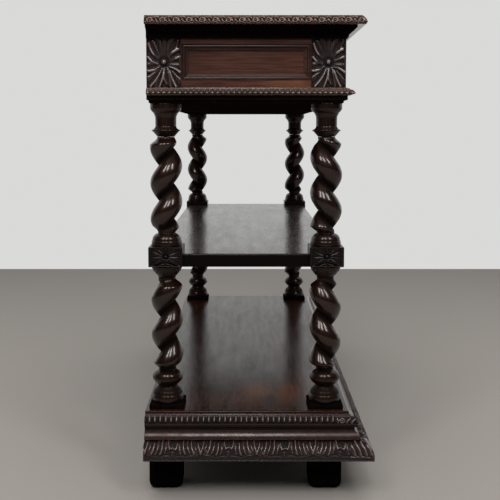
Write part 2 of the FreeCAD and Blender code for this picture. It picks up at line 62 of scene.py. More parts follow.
# Plan and heights, from the frame
block_low, block_high = corners("corner_block_front_left")
HALF_LENGTH = -block_low[0]
FRONT_Y = block_low[1]
HALF_POST = (block_high[0] - block_low[0]) / 2
POST_X = HALF_LENGTH - HALF_POST
POST_FRONT_Y = FRONT_Y + HALF_POST
BACK_Y = corners("corner_block_back_left")[1][1]
POST_BACK_Y = BACK_Y - HALF_POST
BASE_BACK_Y = corners("base_platform")[1][1]
FOOT_TOP = heights("base_rails")[0]
PLATFORM_Z, PLINTH_Z = heights("base_platform")
LOWER_COLUMN_Z = heights("plinth_block_front_left")[1]
MIDDLE_BLOCK_Z, UPPER_COLUMN_Z = heights("middle_block_front_left")
SOFFIT_Z = heights("carcass_bottom")[0]
BEAD_Z, TOP_BOARD_Z = heights("corner_block_front_left")
TOP_Z = heights("top_board")[1]


def reach_of(node):
    """How far a node stands out at the left end, past the outer faces of the posts."""
    return -corners(node)[0][0] - HALF_LENGTH


# Mouldings: how far each stands out from what carries it, and how high it is. The flat of the top
# and the platform themselves stand out past the posts.
TOP_FLAT = 12.0
TOP_EDGE_REACH = reach_of("top_board") - TOP_FLAT
TOP_EDGE_HEIGHT = TOP_Z - TOP_BOARD_Z
BEAD_REACH = reach_of("bead_moulding")
BEAD_HEIGHT = heights("bead_moulding")[1] - BEAD_Z
PLATFORM_REACH = reach_of("base_platform")
TONGUE_REACH = reach_of("tongue_moulding") - PLATFORM_REACH
TONGUE_HEIGHT = heights("tongue_moulding")[1] - PLATFORM_Z
LEAF_REACH = reach_of("leaf_moulding_left") - PLATFORM_REACH
LEAF_HEIGHT = heights("leaf_moulding_left")[1] - FOOT_TOP

# Each post's side of the middle, the way its twists turn, and the shares of a turn at which the
# strands of its upper and lower twist start
posts = {
    "back_left": dict(side_x=-1, side_y=1, hand=1, upper=-0.09, lower=0.339),
    "front_left": dict(side_x=-1, side_y=-1, hand=-1, upper=0.325, lower=0.437),
    "back_right": dict(side_x=1, side_y=1, hand=-1, upper=0.318, lower=0.161),
    "front_right": dict(side_x=1, side_y=-1, hand=1, upper=-0.055, lower=0.063),
}

# The camera stands off the left end of the sideboard and looks a little down along it.
# Its place is in metres and its dip in degrees.
CAMERA_PLACE = (-2.5816, 0.0296, 0.8329)
CAMERA_DIP = 5.012
CAMERA_LENS, SENSOR_WIDTH = 61.0, 36.0
CAMERA_SHIFT_X, CAMERA_SHIFT_Y = 0.0088, -0.09

camera_data = bpy.data.cameras.new("camera")
camera_data.lens = CAMERA_LENS
camera_data.sensor_width = SENSOR_WIDTH
camera_data.shift_x = CAMERA_SHIFT_X
camera_data.shift_y = CAMERA_SHIFT_Y
camera = bpy.data.objects.new("camera", camera_data)
bpy.context.scene.collection.objects.link(camera)
camera.location = CAMERA_PLACE
camera.rotation_euler = (math.radians(90 - CAMERA_DIP), 0, math.radians(-90))
bpy.context.scene.camera = camera
bpy.context.scene.view_settings.view_transform = "Standard"


# Meshes
def grid_faces(rows, columns, wrap=False):
    """Quads of a grid of points, row by row. wrap joins the last column to the first."""
    wide = columns if wrap else columns - 1
    r, c = np.meshgrid(np.arange(rows - 1), np.arange(wide), indexing="ij")
    a = r * columns + c
    b = r * columns + (c + 1) % columns
    return np.stack([a, b, b + columns, a + columns], -1).reshape(-1, 4)


def tube_faces(rows, around):
    """Quads of a tube of rows, each with points around it, and a face that closes each end."""
    faces = grid_faces(rows, around, wrap=True).tolist()
    last = (rows - 1) * around
    return faces + [list(range(around))[::-1], list(range(last, last + around))]


def piece(name, points, faces, body, relief):
    """A mesh piece from points in millimetres. relief is 0 in a cut and 1 on top of a carving."""
    mesh = bpy.data.meshes.new(name)
    mesh.from_pydata((np.asarray(points) * MM).tolist(), [], [list(map(int, f)) for f in faces])
    mesh.validate()
    layer = mesh.attributes.new("relief", "FLOAT", "POINT")
    layer.data.foreach_set("value", np.asarray(relief, np.float32).ravel())
    mesh.shade_smooth()
    obj = bpy.data.objects.new(name, mesh)
    bpy.context.scene.collection.objects.link(obj)
    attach(obj, body)
    return obj


# Outlines. Points nearer than SAME_POINT are one, and an arc flatter than STRAIGHT is a line.
SAME_POINT = 0.001
STRAIGHT = 1e-6
ARC_STEPS = 10


def step_between(a, b, k, count):
    """The point after k of count even steps from a to b."""
    return a[0] + (b[0] - a[0]) * k / count, a[1] + (b[1] - a[1]) * k / count


def arc_points(a, b, c, count):
    """Points on the arc from a through b to c, without a itself."""
    (ax, ay), (bx, by), (cx, cy) = a, b, c
    d = 2 * (ax * (by - cy) + bx * (cy - ay) + cx * (ay - by))
    if abs(d) < STRAIGHT:
        return [step_between(a, c, k, count) for k in range(1, count + 1)]
    centre_x = ((ax**2 + ay**2) * (by - cy) + (bx**2 + by**2) * (cy - ay) + (cx**2 + cy**2) * (ay - by)) / d
    centre_y = ((ax**2 + ay**2) * (cx - bx) + (bx**2 + by**2) * (ax - cx) + (cx**2 + cy**2) * (bx - ax)) / d
    start = math.atan2(ay - centre_y, ax - centre_x)
    middle = (math.atan2(by - centre_y, bx - centre_x) - start) % TAU
    sweep = (math.atan2(cy - centre_y, cx - centre_x) - start) % TAU
    if middle > sweep:
        sweep -= TAU
    radius = math.hypot(ax - centre_x, ay - centre_y)
    turns = [start + sweep * k / count for k in range(1, count + 1)]
    return [(centre_x + radius * math.cos(turn), centre_y + radius * math.sin(turn)) for turn in turns]


def outline(shares, width, height):
    """Points of an outline given in shares of a width and a height. A step of four is an arc."""
    scaled = [tuple(v * (height if i % 2 else width) for i, v in enumerate(step)) for step in shares]
    points = [scaled[0]]
    for step in scaled[1:]:
        if len(step) == 4:
            points += arc_points(points[-1], step[:2], step[2:], ARC_STEPS)
        elif math.dist(points[-1], step) > SAME_POINT:
            points.append(step)
    return points


def spread(points, spacing):
    """The same line with points added, so that none are further apart than the spacing."""
    dense = [points[0]]
    for a, b in zip(points, points[1:]):
        count = max(1, math.ceil(math.dist(a, b) / spacing))
        dense += [step_between(a, b, k, count) for k in range(1, count + 1)]
    return np.array(dense)


# Shapes that carvings are drawn with. Each gives a height from 0 to 1.
def smooth_step(x, low, high):
    t = np.clip((x - low) / (high - low), 0, 1)
    return t * t * (3 - 2 * t)


def bump(distance, width):
    """A soft hump of height 1 at distance 0."""
    return np.exp(-((distance / width) ** 2))


def dome(distance, radius):
    """A round-topped hump with a steep foot."""
    return np.sqrt(np.clip(1 - (distance / radius) ** 2, 0, 1))


def rib(a, b, start, end, width_start, width_end, bow=0.0, height=1.0):
    """A rounded leaf rib from start to end. Half its width changes along it, and bow bends it
    sideways."""
    ax, ay = start
    dx, dy = end[0] - ax, end[1] - ay
    length = math.hypot(dx, dy)
    along = ((a - ax) * dx + (b - ay) * dy) / length
    across = ((b - ay) * dx - (a - ax) * dy) / length
    t = np.clip(along / length, 0, 1)
    across = across - bow * np.sin(t * math.pi)
    width = width_start + (width_end - width_start) * t
    beyond = np.maximum(np.maximum(-along, along - length), 0)
    return height * dome(np.hypot(across, beyond), width)


def highest(*fields):
    return np.maximum.reduce(np.broadcast_arrays(*fields))


def ribs(a, b, table):
    """The highest of the ribs that a table lists."""
    return highest(*(rib(a, b, *row) for row in table))


# Columns: outlines of the turned members, in shares of their radius and height
cup_shares = [(0.56, 0), (0.74, 0.25, 0.91, 0.52), (0.98, 0.78), (1, 0.90, 0.97, 1)]
capital_shares = [
    (0.68, 0), (0.70, 0.14, 0.775, 0.29), (0.775, 0.34), (0.82, 0.38, 0.96, 0.56), (1, 0.62), (1, 1),
]
ring_shares = [(0.63, 0), (0.70, 0.13), (0.94, 0.54), (1, 0.63, 0.95, 0.70), (0.83, 0.80, 0.745, 1)]
upper_base_shares = [
    (0.98, 0), (1, 0.15, 0.985, 0.33), (0.95, 0.37), (0.90, 0.60, 0.68, 0.82), (0.58, 0.87), (0.58, 1),
]
foot_torus_shares = [
    (0.94, 0), (1, 0.20, 0.935, 0.48), (0.90, 0.50), (0.865, 0.64, 0.78, 0.74), (0.66, 0.84), (0.58, 1),
]
foot_ring_shares = [
    (0.60, 0), (0.84, 0.19, 0.98, 0.40), (1, 0.49, 0.98, 0.61), (0.90, 0.79, 0.80, 0.88),
    (0.72, 0.93, 0.58, 1),
]
plain_shares = [(1, 0), (1, 1)]

# The twist: a strand with a groove beside it, which fades into a round neck at each end.
# ROUND is how many points go round a column or a boss.
UPPER_TURNS, LOWER_TURNS = 2.593, 2.5
TWIST_RADIUS = 36.8
TWIST_GROOVE = 12.3
NECK_RADIUS = 19.8
TWIST_END_LENGTH = 18.5
TWIST_LEAD = 4.5
TWIST_ROWS = 170
STRAND_POWER = 0.88
RIPPLE, RIPPLE_RISE = 0.12, 9
ROUND = 96

# Members from the bottom up: outline, radius, height, and the share of it up to which they shine
upper_low = [(upper_base_shares, 35.0, 33.0, 1.0)]
upper_high = [
    (plain_shares, NECK_RADIUS, 6.5, 0.0), (ring_shares, 32.4, 21.0, 0.7),
    (plain_shares, 24.0, 20.0, 1.0), (capital_shares, 35.5, 33.5, 1.0),
]
lower_low = [
    (foot_torus_shares, 36.8, 39.0, 0.47), (foot_ring_shares, 35.4, 36.0, 1.0),
    (plain_shares, NECK_RADIUS, 6.0, 0.0),
]
lower_high = [(plain_shares, NECK_RADIUS, 8.5, 0.0), (cup_shares, 36.0, 26.5, 1.0)]
MEMBER_SPACING = 1.6
# Relief of the rows that shine and of the dull ones. The dull rows also get a darker colour from it:
# painted shade in the necks and in the hollows above the rings and the foot tori.
SHINING, DULL = 0.55, 0.3

# Nested arcs cut in the cup under each face of the block above, between two heights. Their centre
# is a little above the upper one, and the stretch makes them wider than high.
CUP_ARCS = (MIDDLE_BLOCK_Z - 24.0, MIDDLE_BLOCK_Z - 1.0)
CUP_CUT = 1.5
ARC_PITCH = 7.5
ARC_STRETCH = 1.5
ARC_CENTRE = 2.0


def member_rows(members, base):
    """Rows (height, radius, relief) of turned members that stand on each other from a base."""
    rows = []
    for shares, radius, tall, shine in members:
        for r, h in spread(outline(shares, radius, tall), MEMBER_SPACING):
            rows.append((base + h, r, SHINING if h < shine * tall else DULL))
        base += tall
    return rows


def member_ring(turn, h, radius, relief, arcs):
    """Radii and relief round a turned row, with nested arcs cut between two heights if given."""
    r = np.full(ROUND, float(radius))
    top = np.full(ROUND, relief)
    if arcs and arcs[0] < h < arcs[1]:
        side = (turn + TAU / 8) % (TAU / 4) - TAU / 8
        far = np.hypot(side * radius, ARC_STRETCH * (arcs[1] + ARC_CENTRE - h))
        wave = 0.5 + 0.5 * np.cos(TAU * far / ARC_PITCH)
        fade = math.sin((h - arcs[0]) / (arcs[1] - arcs[0]) * math.pi) ** 0.5
        r = r - CUP_CUT * (1 - wave) * fade
        top = 0.25 + 0.5 * wave
    return r, top


def twist_ring(turn, h, fullness):
    """Radii and relief round a row of the twist, which is a plain neck where fullness is 0."""
    strand = np.maximum(np.cos(turn / 2), 0) ** STRAND_POWER
    r = TWIST_GROOVE + (TWIST_RADIUS - TWIST_GROOVE) * strand
    r = NECK_RADIUS + fullness * (r - NECK_RADIUS)
    r = r + RIPPLE * np.sin(4 * turn + h / RIPPLE_RISE) * fullness
    return r, smooth_step(strand, 0.15, 0.85) * fullness + (1 - fullness) * 0.4


def column(name, x, y, z, height, low, high, turns, hand, start, arcs=None):
    """A whole column, with turned members low below the twist and high above it. hand is the way
    the twist turns, and start the share of a turn at which it starts. arcs, where given, are the
    heights between which nested arcs are cut in the members."""
    low_height, high_height = (sum(member[2] for member in members) for members in (low, high))
    length = height - low_height - high_height
    first, last = z + low_height - TWIST_LEAD, z + height - high_height + TWIST_LEAD
    turn = math.pi * (2 * np.arange(ROUND) / ROUND - 1)
    rings = []
    for h, radius, shine in member_rows(low, z):
        if h < first:
            rings.append((h, turn, member_ring(turn, h, radius, shine, arcs)))
    for h in np.linspace(first, last, TWIST_ROWS):
        end = min(h - first, last - h, TWIST_END_LENGTH) / TWIST_END_LENGTH
        lean = TAU * (start + hand * turns * (h - z - low_height) / length)
        rings.append((h, turn + lean, twist_ring(turn, h, end * end * (3 - 2 * end))))
    for h, radius, shine in member_rows(high, z + height - high_height):
        if h > last:
            rings.append((h, turn, member_ring(turn, h, radius, shine, arcs)))
    points = [
        np.stack([x + r * np.cos(angle), y + r * np.sin(angle), np.full(ROUND, h)], -1)
        for h, angle, (r, top) in rings
    ]
    relief = [top for h, angle, (r, top) in rings]
    faces = tube_faces(len(rings), ROUND)
    return piece(name, np.concatenate(points), faces, "case", np.concatenate(relief))


# Blocks with rounded edges, carved on the faces that show. A carving reaches its depth over a
# margin inside the rounding, and points that are the same to WELD_DIGITS decimals become one.
PLAIN_RELIEF = 0.7
CUT_MARGIN = 1.5
ROUNDING_SHARES = (0.0, 0.35, 0.7)
WELD_DIGITS = 3


def axis_steps(low, high, rounding, step):
    inner = np.linspace(low + rounding, high - rounding, max(2, round((high - low) / step)))
    ends = np.array(ROUNDING_SHARES) * rounding
    return np.concatenate([low + ends, inner, (high - ends)[::-1]])


def block(name, low, high, rounding, step, carve=None):
    """A block between two corners. carve maps a face such as "-x" to a function of the distances
    across and up from the middle of that face, which gives (cut depth, relief)."""
    low, high = np.array(low, float), np.array(high, float)
    steps = [axis_steps(low[i], high[i], rounding, step) for i in range(3)]
    middle = (low + high) / 2
    points, relief, faces, count = [], [], [], 0
    for axis in range(3):
        u, v = [i for i in range(3) if i != axis]
        for sign in (-1, 1):
            across, up = np.meshgrid(steps[u], steps[v], indexing="ij")
            flat = np.zeros(across.shape + (3,))
            flat[..., u], flat[..., v] = across, up
            flat[..., axis] = low[axis] if sign < 0 else high[axis]
            core = np.clip(flat, low + rounding, high - rounding)
            out = flat - core
            out /= np.linalg.norm(out, axis=-1, keepdims=True)
            shaped = core + out * rounding
            top = np.full(across.shape, PLAIN_RELIEF)
            cut = (carve or {}).get(("-" if sign < 0 else "+") + "xyz"[axis])
            if cut:
                depth, top = cut(across - middle[u], up - middle[v])
                gaps = [across - low[u], high[u] - across, up - low[v], high[v] - up]
                edge = np.minimum.reduce(gaps)
                inside = smooth_step(edge, rounding, rounding + CUT_MARGIN)
                shaped[..., axis] -= sign * depth * inside
                top = PLAIN_RELIEF + (top - PLAIN_RELIEF) * inside
            points.append(shaped.reshape(-1, 3))
            relief.append(top.ravel())
            quads = grid_faces(*across.shape) + count
            outward = (sign > 0) == (axis == 1)
            faces.append(quads if outward else quads[:, ::-1])
            count += across.size
    points, relief, faces = np.concatenate(points), np.concatenate(relief), np.concatenate(faces)
    rounded = np.round(points, WELD_DIGITS)
    _, first, back = np.unique(rounded, axis=0, return_index=True, return_inverse=True)
    return piece(name, points[first], back.ravel()[faces], "case", relief[first])


# Mouldings that run along the left end, the front and the right end, mitred at the corners.
# A normal is never divided by less than LEAST_LENGTH.
PROFILE_SPACING = 1.2
LEAST_LENGTH = 1e-6


def moulding(name, nodes, shares, size, offset, z, back, spacing, carve):
    """A carved moulding that stands for nodes. shares give its section and size the reach and
    height of that. It starts offset out from the posts' faces, with its foot at z, and ends at
    back. carve(corner, reach, height) gives (rise, relief) at a distance from the outermost point
    of the nearest corner."""
    profile = spread(outline(shares, *size), PROFILE_SPACING)
    profile[:, 1] = np.minimum(profile[:, 1], size[1])
    ahead = np.roll(profile, -1, 0) - np.roll(profile, 1, 0)
    normal = np.stack([ahead[:, 1], -ahead[:, 0]], -1)
    normal /= np.maximum(np.linalg.norm(normal, axis=1, keepdims=True), LEAST_LENGTH)
    end_x, front_y = HALF_LENGTH + offset, FRONT_Y - offset
    reach, rest = profile[:, 0], profile[:, 1]
    end_count = round((back - front_y) / spacing)
    front_count = round(2 * end_x / spacing)
    points, relief = [], []

    def station(run, share):
        if run == "front":
            corner = (end_x + reach) * (1 - abs(2 * share - 1))
        else:
            corner = (back - front_y + reach) * share
        rise, top = carve(corner + size[0] - reach, reach, rest)
        r = reach + normal[:, 0] * rise
        h = rest + normal[:, 1] * rise
        if run == "front":
            x, y = (end_x + r) * (2 * share - 1), front_y - r
        else:
            x, y = (end_x + r) * (-1 if run == "left" else 1), front_y - r + (back - front_y + r) * share
        points.append(np.stack([x, y, z + h], -1))
        relief.append(top)

    for k in range(end_count, 0, -1):
        station("left", k / end_count)
    for k in range(front_count + 1):
        station("front", k / front_count)
    for k in range(1, end_count + 1):
        station("right", k / end_count)
    faces = tube_faces(len(points), len(profile))
    obj = piece(name, np.concatenate(points), faces, "case", np.concatenate(relief))
    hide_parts(*nodes)
    return obj


# The carvings of the blocks. Each rib is (start, end, half width at each end, bow, height).
ROSETTE_DEPTH = 8.0
ROSETTE_RAISE = 2.0
ROSETTE_BUTTON = 7.6
ROSETTE_HOLLOW, ROSETTE_HOLLOW_WIDTH = 9.5, 2.2
ROSETTE_BORDER = (36.5, 37.3)
rosette_petals = [
    ((-5, 12), (-13, 52), 3.0, 7.0, -1.5, 0.62),
    ((0, 12), (2, 54), 2.6, 6.0, 0.0, 0.50),
    ((5, 12), (17, 52), 3.0, 7.0, 1.5, 0.66),
    ((-9, 10), (-25, 46), 2.4, 5.0, 0.0, 0.60),
    ((-12, 7), (-33, 40), 3.4, 4.2, 4.0, 1.0),
    ((8, 8), (31, 28), 3.4, 6.0, 2.5, 1.0),
    ((27, 30), (33, 48), 3.4, 3.0, 0.0, 0.85),
    ((-9, -5), (-34, 10), 3.4, 4.6, 4.0, 1.0),
    ((11, 1), (33, 11), 3.2, 5.0, 0.0, 1.0),
    ((35, 14), (36, -12), 2.2, 2.0, 0.0, 0.80),
    ((-11, -2), (-36, -5), 2.4, 6.0, 0.0, 0.62),
    ((10, -5), (36, -7), 2.6, 6.0, 0.0, 0.64),
    ((-8, -9), (-34, -20), 3.2, 5.4, 2.5, 1.0),
    ((12, -11), (36, -23), 3.0, 5.0, 2.0, 1.0),
    ((-13, -18), (-36, -38), 2.6, 8.0, 0.0, 0.64),
    ((18, -20), (36, -44), 2.6, 8.0, 0.0, 0.68),
    ((-4, -14), (-30, -54), 2.8, 4.4, 2.5, 1.0),
    ((-10, -26), (-19, -54), 2.0, 6.5, 0.0, 0.64),
    ((1, -13), (-2, -36), 3.0, 5.6, 0.0, 1.0),
    ((-2, -34), (-10, -56), 4.4, 3.2, 0.0, 1.0),
    ((-1, -34), (6, -50), 3.6, 2.6, 0.0, 0.90),
    ((7, -12), (15, -54), 3.4, 6.2, 1.0, 0.86),
    ((12, -18), (27, -55), 2.8, 4.2, -1.0, 1.0),
]


def rosette_cut(a, b):
    """The leaf flower of a corner block: a button in a hollow, with leaves that rise to the edges."""
    a, b = -a, b + ROSETTE_RAISE
    far = np.hypot(a, b)
    ground = 0.22 + 0.06 * np.sin(0.9 * a + 0.5 * b) * np.sin(0.4 * b - 0.7 * a)
    height = highest(ground, ribs(a, b, rosette_petals) * (0.3 + 0.7 * np.clip((far - 8) / 20, 0, 1)))
    height = height * (1 - 0.8 * bump(far - ROSETTE_HOLLOW, ROSETTE_HOLLOW_WIDTH))
    border = smooth_step(np.abs(a), *ROSETTE_BORDER) * PLAIN_RELIEF
    height = highest(height, dome(far, ROSETTE_BUTTON), border)
    return ROSETTE_DEPTH * (1 - height), height


FLOWER_DEPTH = 3.6
FLOWER_RAISE = 1.0
FLOWER_PETALS = 14
FLOWER_BUTTON = 4.4
FLOWER_HOLLOW, FLOWER_HOLLOW_WIDTH = 5.6, 1.5
FLOWER_BORDER = (32.0, 33.0)
# Arcs below the daisy: radius, half width, where they fade out at the sides, and height
flower_arcs = [(22.0, 2.6, (19, 23), 0.9), (15.5, 2.4, (13, 17), 0.8)]


def flower_cut(a, b):
    """The daisy of a middle block: a small button, petals out to the edges and arcs below."""
    b = b - FLOWER_RAISE
    far = np.hypot(a, b * 1.1)
    angle = np.arctan2(b, a)
    petals = np.abs(np.cos(FLOWER_PETALS / 2 * (angle + math.pi / 2)))
    grow = smooth_step(far, 4.5, 9)
    height = 0.15 + 0.75 * petals**0.6 * grow * (1 - 0.35 * smooth_step(far, 18, 34))
    height = height * (1 - smooth_step(-b - 0.010 * a**2, 12.5, 14.5))
    below = np.hypot(a, 1.4 * (b + 33.0))
    for radius, width, fade, tall in flower_arcs:
        arc = tall * dome(np.abs(below - radius), width)
        height = highest(height, arc * (1 - smooth_step(np.abs(a), *fade)))
    height = height * (1 - 0.8 * bump(far - FLOWER_HOLLOW, FLOWER_HOLLOW_WIDTH))
    height = highest(height, dome(far, FLOWER_BUTTON), smooth_step(np.abs(a), *FLOWER_BORDER) * 0.9)
    return FLOWER_DEPTH * (1 - height), height


# The carvings of the mouldings, drawn along a run and up it
UNCUT = 0.8


def repeat(corner, start, pitch):
    """How far a point is from the middle of its copy, when copies follow each other from start."""
    return ((corner - start) / pitch + 0.5) % 1.0 * pitch - pitch / 2


def shown(reach, height, out, foot=None, head=None):
    """How much of a carving shows. It fades in over two stretches, outward and up from the foot,
    and out again over the head."""
    share = smooth_step(reach, *out)
    if foot:
        share = share * smooth_step(height, *foot)
    if head:
        share = share * (1 - smooth_step(height, *head))
    return share


def carved(depth, show, pattern):
    """The rise and the relief of a moulding whose pattern shows in part."""
    return -depth * show * (1 - pattern), UNCUT + show * (pattern - UNCUT)


EDGE_DEPTH = 2.6
EDGE_START, EDGE_PITCH = 14.0, 29.0
EDGE_MIDDLE = 9.0
CURL_RADIUS, CURL_WIDTH, CURL_BEAD = 5.2, 1.9, 2.2
edge_leaves = [
    ((4, -6), (13, 3), 1.8, 2.8, -2.0),
    ((6, 6), (14, 8), 1.6, 2.4, 1.5),
    ((-14, -5), (-8, 5), 1.8, 2.6, -1.5),
    ((-14, 7), (-5, 8), 1.6, 2.0, 1.0, 0.9),
]


def top_edge_carve(corner, reach, height):
    """Small curled leaves round the top board's edge."""
    show = shown(reach, height, (2, 6), (0.5, 3), (17.0, 19.5))
    u = repeat(corner, EDGE_START, EDGE_PITCH)
    v = height - EDGE_MIDDLE
    curl = np.hypot(u + 2.0, v - 0.5)
    rim = dome(np.abs(curl - CURL_RADIUS), CURL_WIDTH)
    return carved(EDGE_DEPTH, show, highest(0.12, rim, dome(curl, CURL_BEAD), ribs(u, v, edge_leaves)))


BEAD_DEPTH = 4.2
BEAD_START, BEAD_PITCH = 6.0, 12.0
BEAD_MIDDLE = 8.0
BEAD_RADIUS, PEARL_RADIUS = 3.0, 2.0
BEAD_LEAF = ((0, -3), (0, 7), 4.8, 2.2, 0.0, 0.9)


def bead_carve(corner, reach, height):
    """A row of small pointed leaves, each with a bead at its foot."""
    show = shown(reach, height, (7, 10), head=(15.5, 16.5))
    u = repeat(corner, BEAD_START, BEAD_PITCH)
    v = height - BEAD_MIDDLE
    side = np.abs(u)
    pattern = highest(
        0.10,
        rib(u, v, *BEAD_LEAF) * (1 - 0.55 * bump(side, 0.9)),
        dome(np.hypot(u, v + 2.5), BEAD_RADIUS),
        dome(np.hypot(side - BEAD_PITCH / 2, v - 4.5), PEARL_RADIUS) * 0.7,
    )
    return carved(BEAD_DEPTH, show, pattern)


TONGUE_DEPTH = 3.8
TONGUE_START, TONGUE_PITCH = 65.0, 24.6
TONGUE_HALF, TONGUE_WIDTH = 6.15, 2.9
CORNER_LEAF_END = (50, 53)
SCROLL_MIDDLE, SCROLL_RADIUS, SCROLL_WIDTH, SCROLL_BEAD = (38, 11), 5.0, 2.1, 1.8
corner_leaves = [
    ((0, 3), (0, 16), 3.4, 2.4),
    ((7, 15), (16, 4), 2.4, 3.2, 2.0),
    ((19, 16), (27, 5), 2.2, 3.0, 2.0),
    ((46, 4), (49, 16), 2.0, 2.4),
]


def tongue_carve(corner, reach, height):
    """Upright U-shaped tongues with a dart between them, and a leaf at each mitred corner."""
    show = shown(reach, height, (4, 8), (0.4, 1.6), (19.0, 20.5))
    side = np.abs(repeat(corner, TONGUE_START, TONGUE_PITCH))
    bend = TONGUE_HALF * smooth_step(height, 0.5, 7.0)
    tongues = dome(np.abs(side - bend), TONGUE_WIDTH) * (0.4 + 0.6 * smooth_step(height, 4, 11))
    scroll = np.hypot(corner - SCROLL_MIDDLE[0], height - SCROLL_MIDDLE[1])
    rim = dome(np.abs(scroll - SCROLL_RADIUS), SCROLL_WIDTH)
    leaf = highest(0.15, ribs(corner, height, corner_leaves), rim, dome(scroll, SCROLL_BEAD))
    near = 1 - smooth_step(corner, *CORNER_LEAF_END)
    return carved(TONGUE_DEPTH, show, highest(0.05, tongues) * (1 - near) + leaf * near)


LEAF_DEPTH = 5.5
LEAF_START, LEAF_HALF, LEAF_DRAWN_HALF = 74.5, 63.2, 60.2
LEAF_WAVE, LEAF_WAVE_STEP = 1.1, 0.13
CORNER_SCROLL_END = (48, 54)
band_leaves = [
    ((10.0, 38), (6.5, 27), 2.2, 2.6),
    ((6.5, 27), (0, 30.5), 2.6, 2.0, 0.0, 0.9),
    ((0, 21), (0, 12), 1.8, 3.2, 0.0, 0.7),
    ((15.0, 37), (17.5, 17), 2.2, 3.0, -1.5, 0.9),
    ((22.5, 38), (27.0, 16), 2.4, 3.4, -1.5),
    ((31.0, 38), (37.5, 17), 2.8, 3.6, -1.5, 0.88),
    ((39.5, 38), (46.0, 18), 2.6, 3.6, -1.0),
    ((47.0, 38), (53.5, 14), 2.2, 3.0, 0.0, 0.85),
    ((54.0, 38), (60.2, 16), 2.2, 2.6),
    ((4.0, 8), (27.0, 6), 2.6, 4.0, 2.0, 0.52),
    ((31.0, 6), (53.0, 12), 4.0, 2.6, 2.0, 0.52),
]
corner_scrolls = [
    ((0, 4), (0, 38), 3.4, 2.6),
    ((16, 35), (5, 15), 2.6, 3.6, -1.5),
    ((29, 38), (16, 14), 2.8, 4.0, -2.0),
    ((42, 39), (29, 14), 2.8, 4.0, -2.0),
    ((55, 39), (42, 14), 2.8, 3.8, -2.0),
    ((8, 6), (54, 7), 3.4, 3.2, 1.5, 0.75),
]


def leaf_carve(corner, reach, height):
    """The carved leaf band: open flowers and tulips in turn, with curved leaves between."""
    show = shown(reach, height, (14, 22), (0.6, 3.0))
    u = np.abs(repeat(corner, LEAF_START, 2 * LEAF_HALF)) * LEAF_DRAWN_HALF / LEAF_HALF
    v = height + LEAF_WAVE * np.sin(corner * LEAF_WAVE_STEP)
    floor = 0.20 + 0.28 * (1 - smooth_step(height, 2, 16)) + 0.06 * np.sin(0.5 * u + 0.9 * v)
    band = highest(floor, ribs(u, v, band_leaves))
    scroll = highest(floor, ribs(corner, height, corner_scrolls))
    near = 1 - smooth_step(corner, *CORNER_SCROLL_END)
    rise, relief = carved(LEAF_DEPTH, show, band * (1 - near) + scroll * near)
    # Painted shade: the relief, and with it the colour and the polish, falls off towards the foot of the
    # band.
    shade = 0.4 + 0.6 * smooth_step(height, 1, 13)
    return rise, shade * relief


# The drawers' bosses, in rings from the middle out and then back under the rim
BOSS_THICK = 9.0
BOSS_PETALS = 8
BOSS_RINGS = 26
BOSS_BUTTON = 0.26
BOSS_RIM_SHARES = [0.97, 0.90, 0.80]
BOSS_RIM_HEIGHTS = [0.30, 0.12, 0.0]


def boss(name, node, body):
    """A drawer's carved round boss, with petals round a button and an undercut rim."""
    low, high = corners(node)
    radius = (high[0] - low[0]) / 2
    x, z = (low[0] + high[0]) / 2, (low[2] + high[2]) / 2
    rings = np.concatenate([np.linspace(0.0, 1.0, BOSS_RINGS) ** 0.8, BOSS_RIM_SHARES])
    turn = TAU * np.arange(ROUND) / ROUND
    petal = np.abs(np.cos(BOSS_PETALS / 2 * turn))
    points, relief = [], []
    for k, share in enumerate(rings):
        if k < BOSS_RINGS:
            height = 0.35 + 0.45 * petal**0.6 * math.sin(min(1.0, share * 1.1) * math.pi) ** 0.6
            height = height * (1 - smooth_step(share, 0.82, 1.0) * 0.6)
            height = highest(height, dome(share, BOSS_BUTTON) * np.ones(ROUND))
        else:
            height = np.full(ROUND, BOSS_RIM_HEIGHTS[k - BOSS_RINGS])
        r = radius * share * (1 - 0.03 * (1 - petal) * (share > 0.8))
        y = low[1] + BOSS_THICK * (1 - height)
        points.append(np.stack([x + r * np.cos(turn), y, z + r * np.sin(turn)], -1))
        relief.append(height)
    faces = grid_faces(len(rings), ROUND, wrap=True).tolist()
    faces.append(list(range((len(rings) - 1) * ROUND, len(rings) * ROUND))[::-1])
    obj = piece(name, np.concatenate(points), faces, body, np.concatenate(relief))
    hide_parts(node)
    return obj


# Sections of the mouldings, in shares of their reach and height
top_edge_shares = [(0, 0), (0.88, 0), (0.97, 0.10, 1, 0.27), (0.80, 0.82, 0, 1)]
bead_shares = [
    (0, 0), (0.66, 0), (0.66, 0.06), (0.94, 0.10, 1, 0.25), (0.66, 0.80, 0.16, 0.90), (0.16, 1), (0, 1),
]
tongue_shares = [(0, 0), (0.80, 0), (0.97, 0.22, 1, 0.48), (0.72, 0.84, 0.18, 0.90), (0.18, 1), (0, 1)]
leaf_shares = [(0, 0), (1, 0), (1, 0.36), (0.88, 0.76, 0.66, 1), (0, 1)]

# Distances between the mesh's points along each moulding, and over each kind of block
EDGE_SPACING, BEAD_SPACING, TONGUE_SPACING, LEAF_SPACING = 1.5, 1.3, 1.4, 1.5
CARVED_STEP, PLINTH_STEP, SLAB_STEP = 1.3, 8.0, 60.0
CORNER_ROUNDING, MIDDLE_ROUNDING, PLINTH_ROUNDING, SLAB_ROUNDING = 1.0, 1.4, 2.0, 0.4

